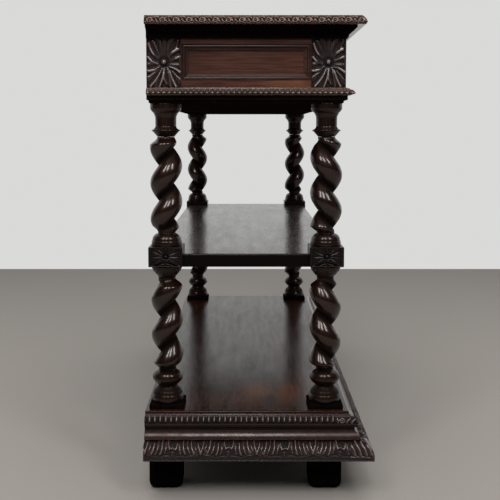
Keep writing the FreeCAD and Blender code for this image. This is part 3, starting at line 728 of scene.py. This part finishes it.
made = {}
made["top_edge"] = moulding(
    "top_board_carved_edge", ["top_board"], top_edge_shares, (TOP_EDGE_REACH, TOP_EDGE_HEIGHT),
    TOP_FLAT, TOP_BOARD_Z, BACK_Y, EDGE_SPACING, top_edge_carve,
)
made["bead"] = moulding(
    "bead_moulding_carved", ["bead_moulding"], bead_shares, (BEAD_REACH, BEAD_HEIGHT),
    0.0, BEAD_Z, BACK_Y, BEAD_SPACING, bead_carve,
)
made["tongue"] = moulding(
    "tongue_moulding_carved", ["tongue_moulding"], tongue_shares, (TONGUE_REACH, TONGUE_HEIGHT),
    PLATFORM_REACH, PLATFORM_Z, BASE_BACK_Y, TONGUE_SPACING, tongue_carve,
)
made["leaf"] = moulding(
    "leaf_moulding_carved", ["leaf_moulding_front", "leaf_moulding_left", "leaf_moulding_right"],
    leaf_shares, (LEAF_REACH, LEAF_HEIGHT), PLATFORM_REACH, FOOT_TOP, BASE_BACK_Y, LEAF_SPACING, leaf_carve,
)
made["top_slab"] = block(
    "top_board_slab", (-HALF_LENGTH - TOP_FLAT, FRONT_Y - TOP_FLAT, TOP_BOARD_Z),
    (HALF_LENGTH + TOP_FLAT, BACK_Y, TOP_Z), SLAB_ROUNDING, SLAB_STEP,
)
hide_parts("top_board")


def post_block(name, post, x, y, low_z, high_z, rounding, cut):
    """A block of a post between two heights, carved on the faces that look out."""
    faces = ["-x" if post["side_x"] < 0 else "+x"]
    if post["side_y"] < 0:
        faces.append("-y")
    low, high = (x - HALF_POST, y - HALF_POST, low_z), (x + HALF_POST, y + HALF_POST, high_z)
    return block(name, low, high, rounding, CARVED_STEP, {face: cut for face in faces})


for name, post in posts.items():
    x = post["side_x"] * POST_X
    y = POST_FRONT_Y if post["side_y"] < 0 else POST_BACK_Y
    made["corner_" + name] = post_block(
        "corner_block_carved_" + name, post, x, y, BEAD_Z, TOP_BOARD_Z, CORNER_ROUNDING, rosette_cut,
    )
    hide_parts("corner_block_" + name)
    made["middle_" + name] = post_block(
        "middle_block_carved_" + name, post, x, y, MIDDLE_BLOCK_Z, UPPER_COLUMN_Z,
        MIDDLE_ROUNDING, flower_cut,
    )
    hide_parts("middle_block_" + name)
    low, high = corners("plinth_block_" + name)
    made["plinth_" + name] = block("plinth_block_rounded_" + name, low, high, PLINTH_ROUNDING, PLINTH_STEP)
    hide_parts("plinth_block_" + name)
    made["upper_" + name] = column(
        "upper_column_turned_" + name, x, y, UPPER_COLUMN_Z, SOFFIT_Z - UPPER_COLUMN_Z,
        upper_low, upper_high, UPPER_TURNS, post["hand"], post["upper"],
    )
    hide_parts("upper_column_" + name)
    made["lower_" + name] = column(
        "lower_column_turned_" + name, x, y, LOWER_COLUMN_Z, MIDDLE_BLOCK_Z - LOWER_COLUMN_Z,
        lower_low, lower_high, LOWER_TURNS, post["hand"], post["lower"], CUP_ARCS,
    )
    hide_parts("lower_column_" + name)

for side in ("left", "right"):
    made["boss_" + side] = boss("drawer_boss_carved_" + side, "drawer_rosette_" + side, "drawer_" + side)


# Materials. Their coordinates are the object's own, in metres.
class Wood:
    """A wood material whose fibres run along the axis grain, with short ways to add its nodes."""

    def __init__(self, name, grain):
        self.material = bpy.data.materials.new(name)
        self.material.use_nodes = True
        self.nodes = self.material.node_tree.nodes
        self.links = self.material.node_tree.links
        self.shader = self.nodes["Principled BSDF"]
        self.place = self.nodes.new("ShaderNodeTexCoord")
        self.grain = grain

    def feed(self, value, socket):
        """Set a number or a colour on a socket, or link an output to it."""
        if isinstance(value, (tuple, float)):
            socket.default_value = value
        else:
            self.links.new(value, socket)

    def mapped(self, scale, shift=(0.0, 0.0, 0.0)):
        mapping = self.nodes.new("ShaderNodeMapping")
        mapping.inputs["Scale"].default_value = scale
        mapping.inputs["Location"].default_value = shift
        self.links.new(self.place.outputs["Object"], mapping.inputs["Vector"])
        return mapping.outputs["Vector"]

    def noise(self, stretch, across, detail, roughness=0.55):
        """Noise of a scale across the grain, and of a share of it along the grain."""
        scale = [across] * 3
        scale["xyz".index(self.grain)] = across * stretch
        texture = self.nodes.new("ShaderNodeTexNoise")
        texture.inputs["Scale"].default_value = 1.0
        texture.inputs["Detail"].default_value = detail
        texture.inputs["Roughness"].default_value = roughness
        self.links.new(self.mapped(scale), texture.inputs["Vector"])
        return texture.outputs["Fac"]

    def ramp(self, source, low, high, low_value=0.0, high_value=1.0):
        node = self.nodes.new("ShaderNodeMapRange")
        node.inputs["From Min"].default_value = low
        node.inputs["From Max"].default_value = high
        node.inputs["To Min"].default_value = low_value
        node.inputs["To Max"].default_value = high_value
        self.links.new(source, node.inputs["Value"])
        return node.outputs["Result"]

    def mix(self, a, b, factor, kind="MIX"):
        """A mix of two colours. Its sockets go by number, because those of each data type share
        their names."""
        node = self.nodes.new("ShaderNodeMix")
        node.data_type = "RGBA"
        node.blend_type = kind
        for socket, value in ((6, a), (7, b), (0, factor)):
            self.feed(value, node.inputs[socket])
        return node.outputs[2]

    def maths(self, operation, a, b):
        node = self.nodes.new("ShaderNodeMath")
        node.operation = operation
        self.feed(a, node.inputs[0])
        self.feed(b, node.inputs[1])
        return node.outputs[0]

    def distance(self, centre, size):
        """The distance from a place, where size is 1 away along each axis."""
        scale = [1 / s for s in size]
        shift = [-c / s for c, s in zip(centre, size)]
        length = self.nodes.new("ShaderNodeVectorMath")
        length.operation = "LENGTH"
        self.links.new(self.mapped(scale, shift), length.inputs[0])
        return length.outputs["Value"]

    def z_of(self, vector):
        parts = self.nodes.new("ShaderNodeSeparateXYZ")
        self.links.new(vector, parts.inputs[0])
        return parts.outputs["Z"]


def rgba(colour, share=1.0):
    """A share of a colour, with an alpha of 1."""
    return tuple(share * c for c in colour) + (1.0,)


# Noises: the share of the scale that is left along the grain, the scale across it, the detail,
# and the roughness where it isn't the usual one
FIBRES = (0.05, 260.0, 4.0)
PORES = (0.03, 900.0, 2.0)
CLOUDS = (0.4, 7.0, 3.0)
DULL_PATCHES = (0.2, 34.0, 5.0, 0.7)
STAIN_SPOTS = (0.25, 20.0, 5.0)
COVE_STREAKS = (0.25, 60.0, 4.0)
RUBBED_POLISH = (0.12, 42.0, 5.0, 0.65)

# Shares of the dark colour that are left in clouds and pores, in the painted shade of cuts and in the
# painted shade of side faces
SHADE_SHARE, CUT_SHADE_SHARE, SIDE_SHADE_SHARE = 0.5, 0.12, 0.3
# How much a face looks up, from 0 to 1, where its colour and polish begin and where they are full, above
# the painted shade of side faces
UPWARD = (0.25, 0.85)
# The cove begins over a thin blend and keeps a share of the wood's colour, the rest painted shade. The
# polish below it is streaky and keeps at least a share of its strength.
COVE_BLEND, COVE_SHADE_SHARE, COVE_STREAK_SHARE = 0.0005, 0.3, 0.45
# How much of the colour for wear and painted highlight the tops of a carving have
WEAR_AND_HIGHLIGHT_SHARE = 0.8
BUMP_STRENGTH, BUMP_DEPTH = 0.3, 0.0004


def oak_colour(wood, fibre, pores, dark, light, stains):
    """The colour of the fibres, with darker clouds and pores and with stains of wear."""
    shade = rgba(dark, SHADE_SHARE)
    cloud = wood.noise(*CLOUDS)
    colour = wood.mix(rgba(dark), rgba(light), wood.ramp(fibre, 0.35, 0.68))
    colour = wood.mix(colour, shade, wood.ramp(cloud, 0.42, 0.68, 0.0, 0.6))
    for centre, size, stain_colour, strength in stains:
        near = wood.ramp(wood.distance(centre, size), 1.0, 0.25)
        patch = wood.maths("MULTIPLY", near, wood.ramp(wood.noise(*STAIN_SPOTS), 0.38, 0.56))
        colour = wood.mix(colour, rgba(stain_colour), wood.maths("MULTIPLY", patch, strength))
    return wood.mix(colour, shade, wood.ramp(pores, 0.58, 0.70, 0.0, 0.6))


def painted_side_shade(wood, colour, rough, coat, dark):
    """Colour, roughness and coat with painted shade, near black and dull, on the faces that don't look up.
    """
    up = wood.z_of(wood.nodes.new("ShaderNodeNewGeometry").outputs["Normal"])
    colour = wood.mix(rgba(dark, SIDE_SHADE_SHARE), colour, wood.ramp(up, *UPWARD))
    rough = wood.maths("MAXIMUM", wood.ramp(up, *UPWARD, 1.0, 0.0), rough)
    return colour, rough, wood.ramp(up, *UPWARD, 0.0, coat)


def dull_shaded_cove(wood, colour, coat, dark, height):
    """Colour and coat with painted shade, dark and dull, above a height, and streaky below it."""
    z = wood.z_of(wood.place.outputs["Object"])
    below = wood.ramp(z, height + COVE_BLEND, height - COVE_BLEND)
    colour = wood.mix(rgba(dark, SHADE_SHARE), colour, wood.ramp(below, 0.0, 1.0, COVE_SHADE_SHARE, 1.0))
    streaks = wood.ramp(wood.noise(*COVE_STREAKS), 0.35, 0.62, COVE_STREAK_SHARE * coat, coat)
    return colour, wood.maths("MULTIPLY", below, streaks)


def carved_relief(wood, colour, rough, coat, dark, wear_and_highlight):
    """Colour, roughness and coat of a carving: painted shade and dullness in its cuts, and tops lightened
    for wear and for a painted highlight.
    """
    attribute = wood.nodes.new("ShaderNodeAttribute")
    attribute.attribute_name = "relief"
    high = attribute.outputs["Fac"]
    colour = wood.mix(rgba(dark, CUT_SHADE_SHARE), colour, wood.ramp(high, 0.1, 0.7))
    if wear_and_highlight:
        colour = wood.mix(colour, rgba(wear_and_highlight), wood.ramp(high, 0.82, 1.0, 0.0, WEAR_AND_HIGHLIGHT_SHARE))
    return colour, wood.ramp(high, 0.1, 0.6, 0.9, rough), wood.ramp(high, 0.25, 0.75, 0.0, coat)


def oak(
    name, grain, dark, light, rough, relief=False, sides=False, specular=0.25, coat=0.25, coat_rough=0.09,
    stains=(), dull_shaded_above=None, wear_and_highlight=None, tint=None, streaky=False,
):
    """Polished oak. dark and light are the colours between which its fibres vary. relief paints shade
    into the cuts of a carved piece, and wear_and_highlight is the colour of its tops, lighter for wear
    and for a painted highlight. sides paints shade on the faces that don't look up, and the wood is
    dull and has painted shade above the height dull_shaded_above. Each stain is a (place, size,
    colour, strength). tint is the colour of the sheen, and a streaky coat is rubbed off in places."""
    wood = Wood(name, grain)
    fibre, pores = wood.noise(*FIBRES), wood.noise(*PORES)
    colour = oak_colour(wood, fibre, pores, dark, light, stains)
    roughness = wood.ramp(wood.noise(*DULL_PATCHES), 0.35, 0.65, rough - 0.05, rough + 0.06)
    weight = coat
    if sides:
        colour, roughness, weight = painted_side_shade(wood, colour, roughness, coat, dark)
    if dull_shaded_above is not None:
        colour, weight = dull_shaded_cove(wood, colour, coat, dark, dull_shaded_above)
    if relief:
        colour, roughness, weight = carved_relief(wood, colour, rough, coat, dark, wear_and_highlight)
    if streaky:
        weight = wood.ramp(wood.noise(*RUBBED_POLISH), 0.38, 0.64, 0.0, coat)
    inputs = wood.shader.inputs
    inputs["Coat Weight"].default_value = coat
    inputs["Coat Roughness"].default_value = coat_rough
    inputs["Specular IOR Level"].default_value = specular
    if tint:
        inputs["Specular Tint"].default_value = rgba(tint)
    wood.feed(colour, inputs["Base Color"])
    wood.feed(roughness, inputs["Roughness"])
    wood.feed(weight, inputs["Coat Weight"])
    bumps = wood.nodes.new("ShaderNodeBump")
    bumps.inputs["Strength"].default_value = BUMP_STRENGTH
    bumps.inputs["Distance"].default_value = BUMP_DEPTH
    height = wood.mix(fibre, wood.ramp(pores, 0.55, 0.72, 1.0, 0.4), 1.0, "MULTIPLY")
    wood.links.new(height, bumps.inputs["Height"])
    wood.links.new(bumps.outputs["Normal"], inputs["Normal"])
    return wood.material


SHADOW_BLACK_OAK = (0.003, 0.002, 0.002)
DARK_OAK = (0.010, 0.006, 0.005)
BROWN_OAK = (0.050, 0.028, 0.022)
RED_OAK = (0.125, 0.047, 0.030)
ORANGE_OAK = (0.22, 0.085, 0.032)
# Height of the foot of the cove, above the half-round of the ogee moulding; above it the cove has painted
# shade
COVE_Z = 0.149
PLATFORM_TOP = PLINTH_Z * MM
rail_stain = ((-0.672, -0.085, 0.9325), (0.03, 0.09, 0.03), ORANGE_OAK, 0.7)
platform_stains = [
    ((-0.535, -0.04, PLATFORM_TOP), (0.11, 0.10, 0.1), (0.12, 0.036, 0.010), 1.0),
    ((-0.60, 0.04, PLATFORM_TOP), (0.07, 0.17, 0.1), (0.048, 0.015, 0.006), 0.9),
]

# Carved and turned pieces: their cuts and grooves have painted shade, and where a colour for the tops is
# given, the tops are lighter for wear and for a painted highlight.
carved_z = oak(
    "carved_oak_upright", "z", (0.015, 0.007, 0.006), (0.066, 0.030, 0.025), 0.30, relief=True,
    specular=0.38, coat=1.0, coat_rough=0.15, wear_and_highlight=(0.29, 0.225, 0.21),
)
carved_x = oak(
    "carved_oak_long", "x", (0.014, 0.007, 0.0055), (0.062, 0.030, 0.024), 0.30, relief=True,
    specular=0.38, coat=0.8, coat_rough=0.15, wear_and_highlight=(0.175, 0.12, 0.105),
)
flower_oak = oak(
    "carved_oak_flower", "z", (0.005, 0.003, 0.003), (0.019, 0.009, 0.008), 0.36, relief=True,
    specular=0.1, coat=0.2, coat_rough=0.16,
)
bead_oak = oak(
    "carved_oak_bead", "x", (0.036, 0.020, 0.015), (0.20, 0.107, 0.076), 0.28, relief=True,
    specular=0.5, coat=0.9, coat_rough=0.12, wear_and_highlight=(0.27, 0.19, 0.155),
)
edge_oak = oak(
    "carved_oak_edge", "x", (0.018, 0.008, 0.005), (0.115, 0.050, 0.030), 0.30, relief=True,
    specular=0.25, coat=0.45, coat_rough=0.12, wear_and_highlight=(0.19, 0.11, 0.08),
)
turned_oak = oak(
    "turned_oak", "z", (0.004, 0.0018, 0.0013), (0.020, 0.0065, 0.004), 0.34, relief=True,
    specular=0.24, coat=0.80, coat_rough=0.14, tint=(1.0, 0.65, 0.5),
)
# Near black and without polish: painted shade on the cornice, plinths, feet and base rails, which stand in
# shadow.
shadow_black_x = oak("shadow_black_oak", "x", SHADOW_BLACK_OAK, (0.008, 0.005, 0.004), 0.6, specular=0.0, coat=0.0)
# Near black and without polish: painted shade on the step under the carcass.
shaded_step_oak = oak("oak_step_shaded", "x", (0.007, 0.005, 0.004), (0.018, 0.012, 0.010), 0.6, specular=0.0, coat=0.0)
# The top's slab and the middle shelf have painted shade on the faces that don't look up.
plain_x = oak(
    "oak_long", "x", DARK_OAK, BROWN_OAK, 0.28, sides=True, specular=0.10, coat=0.61, coat_rough=0.14,
)
ogee_oak = oak(
    "oak_ogee", "x", (0.014, 0.006, 0.004), (0.060, 0.020, 0.012), 0.36,
    specular=0.2, coat=1.0, coat_rough=0.25, dull_shaded_above=COVE_Z,
)
platform_oak = oak(
    "oak_platform", "x", (0.012, 0.005, 0.003), (0.044, 0.0135, 0.0075), 0.20,
    specular=0.15, coat=0.17, coat_rough=0.16, stains=platform_stains, streaky=True,
)
frame_y = oak("oak_panel_frame", "y", (0.020, 0.008, 0.006), (0.065, 0.025, 0.017), 0.36, coat=0.2)
panel_y = oak("oak_panel_across", "y", (0.044, 0.0155, 0.0095), (0.098, 0.034, 0.0205), 0.36, coat=0.1)
rail_y = oak(
    "oak_rail_across", "y", (0.046, 0.0175, 0.0125), (0.12, 0.045, 0.028), 0.34,
    coat=0.15, stains=[rail_stain],
)
panel_x = oak("oak_panel_long", "x", (0.045, 0.017, 0.011), RED_OAK, 0.36, coat=0.1)
bare = oak("bare_oak", "y", (0.20, 0.12, 0.065), (0.36, 0.24, 0.14), 0.55, specular=0.3, coat=0.0)


def paint(obj, material):
    obj.data.materials.clear()
    obj.data.materials.append(material)


made_finish = {
    "top_edge": edge_oak, "top_slab": plain_x, "bead": bead_oak, "tongue": carved_x, "leaf": carved_x,
    "corner": carved_z, "middle": flower_oak, "plinth": shadow_black_x, "upper": turned_oak, "lower": turned_oak,
    "boss": carved_z,
}
node_finish = {
    "drawer_runners": bare, "back_board": bare, "shelf_dowels": bare,
    "drawer_sides": bare, "drawer_back": bare, "drawer_bottom": bare,
    "end_panel_moulding": frame_y, "end_panel": panel_y, "end_rails": rail_y,
    "drawer_front": panel_x, "drawer_rail": panel_x, "drawer_moulding": panel_x, "drawer_divider": panel_x,
    "cornice": shadow_black_x, "foot": shadow_black_x, "carcass_bottom": shaded_step_oak, "base_rails": shadow_black_x,
    "ogee_moulding": ogee_oak, "base_platform": platform_oak, "middle_shelf": plain_x,
}


def finish_of(name, table):
    """The finish of the longest key that a name starts with."""
    return table[max((key for key in table if name.startswith(key)), key=len)]


for key, obj in made.items():
    paint(obj, finish_of(key, made_finish))
for name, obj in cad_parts.items():
    if not obj.hide_render:
        paint(obj, finish_of(name, node_finish))


# Floor. Its far edge is where the wall stands in the photograph.
FLOOR_FAR_EDGE = 2.487
FLOOR_REACH = 12.0
FLOOR_COLOUR = (0.32, 0.295, 0.27)
FLOOR_ROUGH, FLOOR_SPECULAR = 0.7, 0.15

floor_mesh = bpy.data.meshes.new("floor")
floor_mesh.from_pydata(
    [
        (-FLOOR_REACH, -FLOOR_REACH, 0.0), (FLOOR_FAR_EDGE, -FLOOR_REACH, 0.0),
        (FLOOR_FAR_EDGE, FLOOR_REACH, 0.0), (-FLOOR_REACH, FLOOR_REACH, 0.0),
    ],
    [], [(0, 1, 2, 3)],
)
floor = bpy.data.objects.new("floor", floor_mesh)
bpy.context.scene.collection.objects.link(floor)
floor_material = bpy.data.materials.new("pale_floor")
floor_material.use_nodes = True
floor_shader = floor_material.node_tree.nodes["Principled BSDF"]
floor_shader.inputs["Base Color"].default_value = rgba(FLOOR_COLOUR)
floor_shader.inputs["Roughness"].default_value = FLOOR_ROUGH
floor_shader.inputs["Specular IOR Level"].default_value = FLOOR_SPECULAR
paint(floor, floor_material)

# Backdrop: the strength of the pale wall and of the dim room, and where one gives way to the
# other, as the x of a direction
WALL_STRENGTH, ROOM_STRENGTH = 0.70, 0.04
ROOM_END, WALL_START = 0.1, 0.55
BACKDROP_COLOUR = (1.0, 1.0, 0.99)


def studio_world():
    """A pale backdrop to the camera. The object is lit by a dim room with a pale wall at its far
    end, beyond the right end of the sideboard."""
    world = bpy.data.worlds.new("world")
    bpy.context.scene.world = world
    world.use_nodes = True
    nodes, links = world.node_tree.nodes, world.node_tree.links
    place = nodes.new("ShaderNodeTexCoord")
    split = nodes.new("ShaderNodeSeparateXYZ")
    links.new(place.outputs["Generated"], split.inputs[0])
    wall = nodes.new("ShaderNodeMapRange")
    wall.interpolation_type = "SMOOTHSTEP"
    wall.inputs["From Min"].default_value = ROOM_END
    wall.inputs["From Max"].default_value = WALL_START
    wall.inputs["To Min"].default_value = ROOM_STRENGTH
    wall.inputs["To Max"].default_value = WALL_STRENGTH
    links.new(split.outputs["X"], wall.inputs["Value"])
    path = nodes.new("ShaderNodeLightPath")
    seen = nodes.new("ShaderNodeMix")
    seen.inputs["B"].default_value = WALL_STRENGTH
    links.new(path.outputs["Is Camera Ray"], seen.inputs["Factor"])
    links.new(wall.outputs["Result"], seen.inputs["A"])
    back = nodes["Background"]
    back.inputs["Color"].default_value = rgba(BACKDROP_COLOUR)
    links.new(seen.outputs["Result"], back.inputs["Strength"])


studio_world()

# Lamps: three tall windows behind the camera, and a wide ceiling that isn't seen in the polish
WINDOW_PLACES = {"left": (-2.85, 1.40, 3.00), "middle": (-3.15, 0.10, 3.00), "right": (-2.75, -1.68, 3.00)}
WINDOW_WIDTH, WINDOW_HEIGHT, WINDOW_POWER = 0.60, 1.6, 37
WINDOW_AIM = (-0.65, 0.0, 0.5)
CEILING_PLACE, CEILING_AIM = (-0.2, 0.0, 3.4), (-0.2, 0.0, 0.0)
CEILING_WIDTH, CEILING_HEIGHT, CEILING_POWER = 3.8, 3.4, 82


def softbox(name, place, target, width, height, power):
    data = bpy.data.lights.new(name, "AREA")
    data.shape = "RECTANGLE"
    data.size = width
    data.size_y = height
    data.energy = power
    obj = bpy.data.objects.new(name, data)
    bpy.context.scene.collection.objects.link(obj)
    obj.location = place
    obj.rotation_euler = (Vector(target) - Vector(place)).to_track_quat("-Z", "Y").to_euler()
    obj.visible_camera = False
    return obj


for side, place in WINDOW_PLACES.items():
    softbox("window_" + side, place, WINDOW_AIM, WINDOW_WIDTH, WINDOW_HEIGHT, WINDOW_POWER)
ceiling = softbox("ceiling", CEILING_PLACE, CEILING_AIM, CEILING_WIDTH, CEILING_HEIGHT, CEILING_POWER)
ceiling.visible_glossy = False
